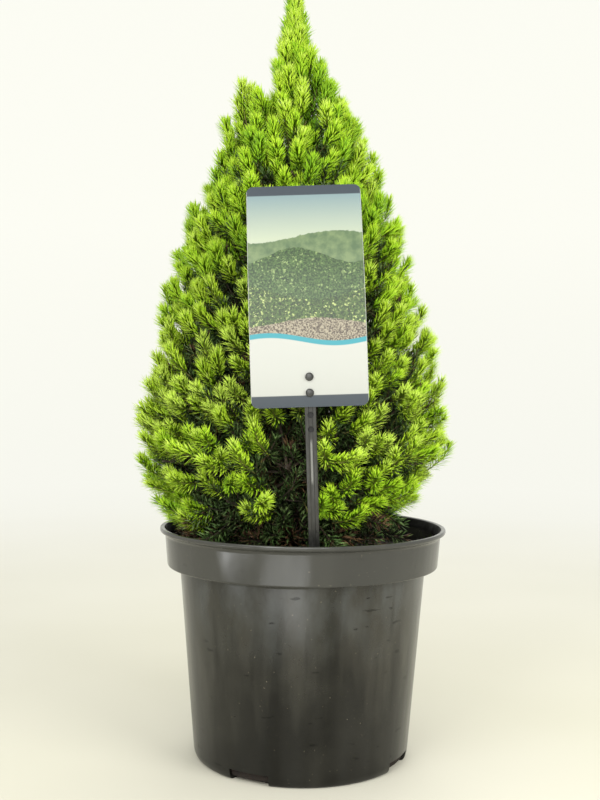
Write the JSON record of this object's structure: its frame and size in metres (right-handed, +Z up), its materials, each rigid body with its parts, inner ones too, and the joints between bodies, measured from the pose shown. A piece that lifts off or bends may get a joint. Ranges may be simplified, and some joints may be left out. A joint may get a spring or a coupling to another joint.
{
  "type": "potted dwarf alberta spruce",
  "caption": "Young cone-shaped dwarf conifer with dense bright green needles, standing in a round black nursery pot with a blank-faced plant label on a stem.",
  "frame": {"origin": "middle of the pot's flat underside, where the plant stands", "axes": "+Z up along the pot's axis and the trunk; the label faces -Y, the front"},
  "size_m": [0.2049, 0.2149, 0.505],
  "materials": {
    "pot": "satin dark grey injection-moulded plastic with dust and scuffs",
    "soil": "damp fibrous peat-based growing medium",
    "bark": "rough young bark",
    "foliage": "fresh needles with a soft waxy gloss",
    "card": "printed plastic card",
    "stem": "satin dark grey moulded plastic"
  },
  "bodies": {
    "root": {"pot": "pot", "soil": "soil", "trunk": "bark", "bough_low_front": "bark", "bough_low_front_right": "bark", "bough_low_back_right": "bark", "bough_low_back": "bark", "bough_low_back_left": "bark", "bough_low_front_left": "bark", "bough_middle_front": "bark", "bough_middle_front_right": "bark", "bough_middle_back_right": "bark", "bough_middle_back": "bark", "bough_middle_back_left": "bark", "bough_middle_front_left": "bark", "foliage_low_front": "foliage", "foliage_low_front_right": "foliage", "foliage_low_back_right": "foliage", "foliage_low_back": "foliage", "foliage_low_back_left": "foliage", "foliage_low_front_left": "foliage", "foliage_middle_front": "foliage", "foliage_middle_front_right": "foliage", "foliage_middle_back_right": "foliage", "foliage_middle_back": "foliage", "foliage_middle_back_left": "foliage", "foliage_middle_front_left": "foliage", "foliage_high_front": "foliage", "foliage_high_front_right": "foliage", "foliage_high_back_right": "foliage", "foliage_high_back": "foliage", "foliage_high_back_left": "foliage", "foliage_high_front_left": "foliage", "foliage_leader": "foliage", "label_card": "card", "label_stem": "stem"}
  },
  "joints": []
}
